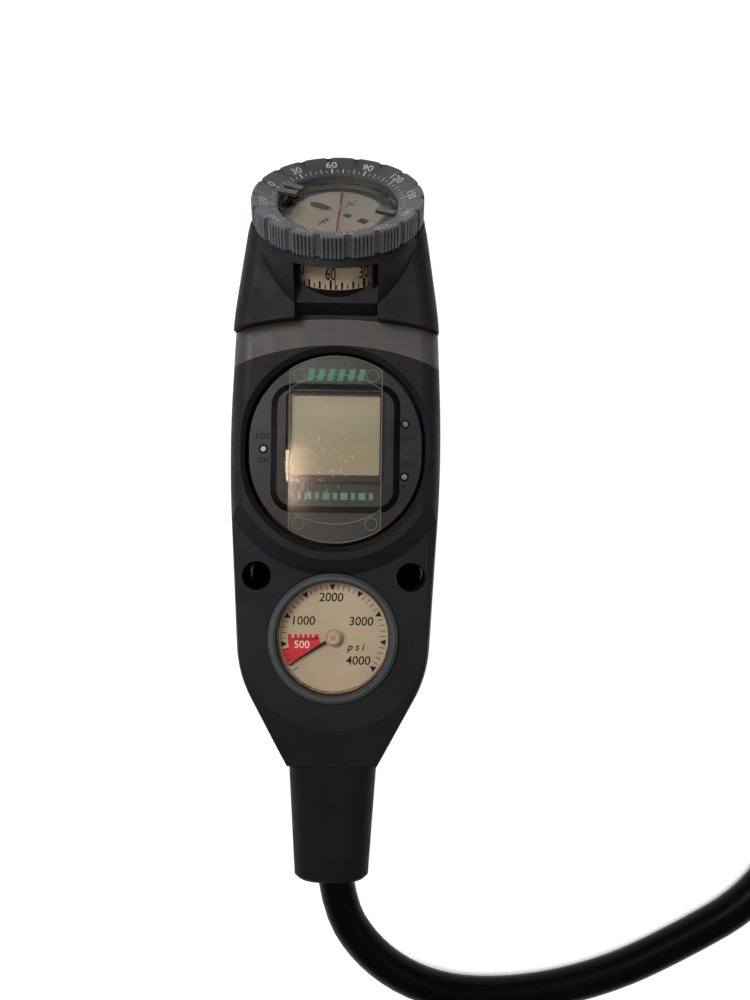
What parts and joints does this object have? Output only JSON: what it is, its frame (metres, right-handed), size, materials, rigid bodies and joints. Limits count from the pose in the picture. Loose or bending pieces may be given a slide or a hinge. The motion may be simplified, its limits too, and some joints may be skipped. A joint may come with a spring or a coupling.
{
  "type": "dive instrument console with high-pressure hose",
  "caption": "In-line dive console in a rubber boot: tilted compass, dive computer and pressure gauge, with its high-pressure hose in a coil.",
  "frame": {"origin": "under the middle of the console (hose left out), on the surface its back lies on", "axes": "+Z out of the instrument faces, +Y along the console from the hose end to the compass, +X to the right seen from the front"},
  "size_m": [0.3868, 0.339, 0.0656],
  "materials": {
    "boot_rubber": "moulded, satin",
    "band_plastic": "moulded, satin",
    "bezel_plastic": "moulded, ribbed edge",
    "clear_plastic": "clear, scratched",
    "case_plastic": "moulded",
    "dial_paint": "cream, printed",
    "card_plastic": "cream, printed",
    "display_glass": "grey-green",
    "needle_paint": "black",
    "brass": "turned",
    "plated_brass": "plated, satin",
    "steel": "stainless",
    "seal_rubber": "nitrile",
    "hose_rubber": "extruded, semi-gloss",
    "board": "solder mask",
    "chip_plastic": "moulded",
    "cell_steel": "lithium cell can",
    "magnet": "ferrite"
  },
  "bodies": {
    "console": {"main_boot": "boot_rubber", "accent_band": "band_plastic", "compass_cradle": "boot_rubber", "neck_sleeve": "boot_rubber", "band_screws": "steel", "gauge_case": "brass", "gauge_bezel": "bezel_plastic", "gauge_lens": "clear_plastic", "lens_gasket": "seal_rubber", "dial_plate": "dial_paint", "bourdon_spiral": "brass", "movement_frame": "brass", "blowout_plug": "seal_rubber", "inlet_stem": "brass", "swivel_spool": "steel", "spool_orings": "seal_rubber", "hose_nut": "plated_brass", "computer_case": "case_plastic", "case_gasket": "seal_rubber", "computer_cover": "case_plastic", "computer_window": "clear_plastic", "lcd_mask": "case_plastic", "lcd_module": "display_glass", "display_carrier": "case_plastic", "circuit_board": "board", "circuit_chips": "chip_plastic", "battery": "cell_steel", "battery_cap": "case_plastic", "battery_cap_oring": "seal_rubber", "battery_contacts": "steel", "buzzer": "brass", "pressure_sensor": "steel", "contact_studs": "steel", "case_screws": "steel", "bezel_snap_ring": "steel", "bezel_click_spring": "steel", "capsule_shell": "clear_plastic", "capsule_base": "case_plastic", "diaphragm": "seal_rubber", "diaphragm_ring": "case_plastic", "pivot_pin": "steel"},
    "bezel": {"bezel_ring": "bezel_plastic", "index_posts": "bezel_plastic"},
    "card": {"compass_card": "card_plastic", "card_jewel": "clear_plastic", "card_magnets": "magnet"},
    "needle": {"pointer": "needle_paint", "hub_cap": "brass", "pointer_shaft": "steel"},
    "guard": {"lens_guard": "clear_plastic"},
    "hose_line": {"hose_barb": "plated_brass", "gauge_end_ferrule": "plated_brass", "hose": "hose_rubber", "hose_coil": "hose_rubber", "hose_tie": "seal_rubber", "port_end_ferrule": "plated_brass", "port_fitting": "plated_brass", "port_oring": "seal_rubber"}
  },
  "joints": [
    {"name": "bezel_turn", "type": "hinge", "parent": "console", "child": "bezel", "pos_m": [0, 0.11834, 0.042], "axis": [0, 0.7547, 0.6561], "continuous": true},
    {"name": "card_turn", "type": "hinge", "parent": "console", "child": "card", "pos_m": [0, 0.11834, 0.042], "axis": [0, 0.7547, 0.6561], "continuous": true},
    {"name": "needle_turn", "type": "hinge", "parent": "console", "child": "needle", "pos_m": [0, -0.04556, 0.028], "axis": [0, 0, -1], "range_deg": [-8.3, 250.4], "stiffness_Nm_per_rad": 0.0002},
    {"name": "guard_lift", "type": "slide", "parent": "console", "child": "guard", "axis": [0, 0, 1], "range_m": [0, 0.015]},
    {"name": "hose_swivel", "type": "hinge", "parent": "console", "child": "hose_line", "pos_m": [0, -0.08356, 0.0165], "axis": [0, -1, 0], "continuous": true}
  ]
}
